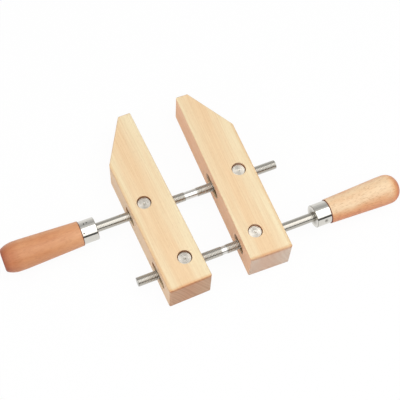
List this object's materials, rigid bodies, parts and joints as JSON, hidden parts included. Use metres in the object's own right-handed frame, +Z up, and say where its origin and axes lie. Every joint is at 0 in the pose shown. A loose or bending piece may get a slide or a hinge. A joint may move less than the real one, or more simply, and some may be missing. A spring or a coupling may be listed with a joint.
{
  "type": "handscrew clamp",
  "caption": "Wooden handscrew clamp: tapered maple jaws on threaded steel spindles in swivelling barrel nuts, opened, closed and tilted by turning ferruled wooden handles.",
  "frame": {"origin": "on the bench under the clamp, midway between the jaws and midway along them", "axes": "+Z up out of the bench, +Y along the jaws to their noses, +X along the spindles from the middle spindle's handle to the end spindle's handle"},
  "size_m": [0.3966, 0.2042, 0.035],
  "materials": {
    "jaw_maple": "sanded and oiled",
    "nut_steel": "turned",
    "spindle_steel": "rolled thread",
    "ferrule_steel": "polished",
    "middle_handle_wood": "satin",
    "end_handle_wood": "satin"
  },
  "bodies": {
    "jaw_left": {"jaw_left": "jaw_maple"},
    "middle_left_nut": {"middle_left_nut": "nut_steel"},
    "middle_spindle": {"middle_spindle": "spindle_steel"},
    "middle_handle": {"middle_handle": "middle_handle_wood", "middle_ferrule": "ferrule_steel"},
    "middle_right_nut": {"middle_right_nut": "nut_steel"},
    "jaw_right": {"jaw_right": "jaw_maple"},
    "end_right_nut": {"end_right_nut": "nut_steel"},
    "end_spindle": {"end_spindle": "spindle_steel"},
    "end_handle": {"end_handle": "end_handle_wood", "end_ferrule": "ferrule_steel"},
    "end_left_nut": {"end_left_nut": "nut_steel"}
  },
  "joints": [
    {"name": "middle_turn", "type": "hinge", "parent": "middle_spindle", "child": "middle_handle", "pos_m": [-0.10285, -0.00297, 0.0175], "axis": [-1, 0, 0], "range_deg": [-2970, 7740]},
    {"name": "middle_feed", "type": "slide", "parent": "middle_left_nut", "child": "middle_spindle", "axis": [1, 0, 0], "range_m": [-0.0131, 0.03413]},
    {"name": "right_nut_feed", "type": "slide", "parent": "middle_spindle", "child": "middle_right_nut", "axis": [1, 0, 0], "range_m": [-0.0131, 0.03413]},
    {"name": "end_feed", "type": "slide", "parent": "end_right_nut", "child": "end_spindle", "axis": [-1, 0, 0], "range_m": [-0.0131, 0.03413]},
    {"name": "end_turn", "type": "hinge", "parent": "end_spindle", "child": "end_handle", "pos_m": [0.10285, -0.07312, 0.0175], "axis": [1, 0, 0], "range_deg": [-2970, 7740]},
    {"name": "jaw_tilt", "type": "hinge", "parent": "middle_right_nut", "child": "jaw_right", "pos_m": [0.0513, -0.00297, 0.0175], "axis": [0, 0, -1], "range_deg": [-6.53, 3.47]},
    {"name": "middle_left_swivel", "type": "hinge", "parent": "jaw_left", "child": "middle_left_nut", "pos_m": [-0.0513, -0.00297, 0.0175], "axis": [0, 0, -1], "range_deg": [-6.53, 3.47]},
    {"name": "end_right_swivel", "type": "hinge", "parent": "jaw_right", "child": "end_right_nut", "pos_m": [0.03732, -0.07312, 0.0175], "axis": [0, 0, 1], "range_deg": [-6.53, 3.47]},
    {"name": "end_left_swivel", "type": "hinge", "parent": "jaw_left", "child": "end_left_nut", "pos_m": [-0.03732, -0.07312, 0.0175], "axis": [0, 0, -1], "range_deg": [-6.53, 3.47]}
  ],
  "couplings": [
    {"joint": "middle_turn", "follows": "middle_feed", "rad_per_m": 3957.9},
    {"joint": "right_nut_feed", "follows": "middle_feed", "ratio": 1},
    {"joint": "end_feed", "follows": "middle_feed", "ratio": 1},
    {"joint": "end_turn", "follows": "middle_feed", "rad_per_m": 3957.9},
    {"joint": "middle_left_swivel", "follows": "jaw_tilt", "ratio": 1},
    {"joint": "end_right_swivel", "follows": "jaw_tilt", "ratio": 1},
    {"joint": "end_left_swivel", "follows": "jaw_tilt", "ratio": 1}
  ]
}
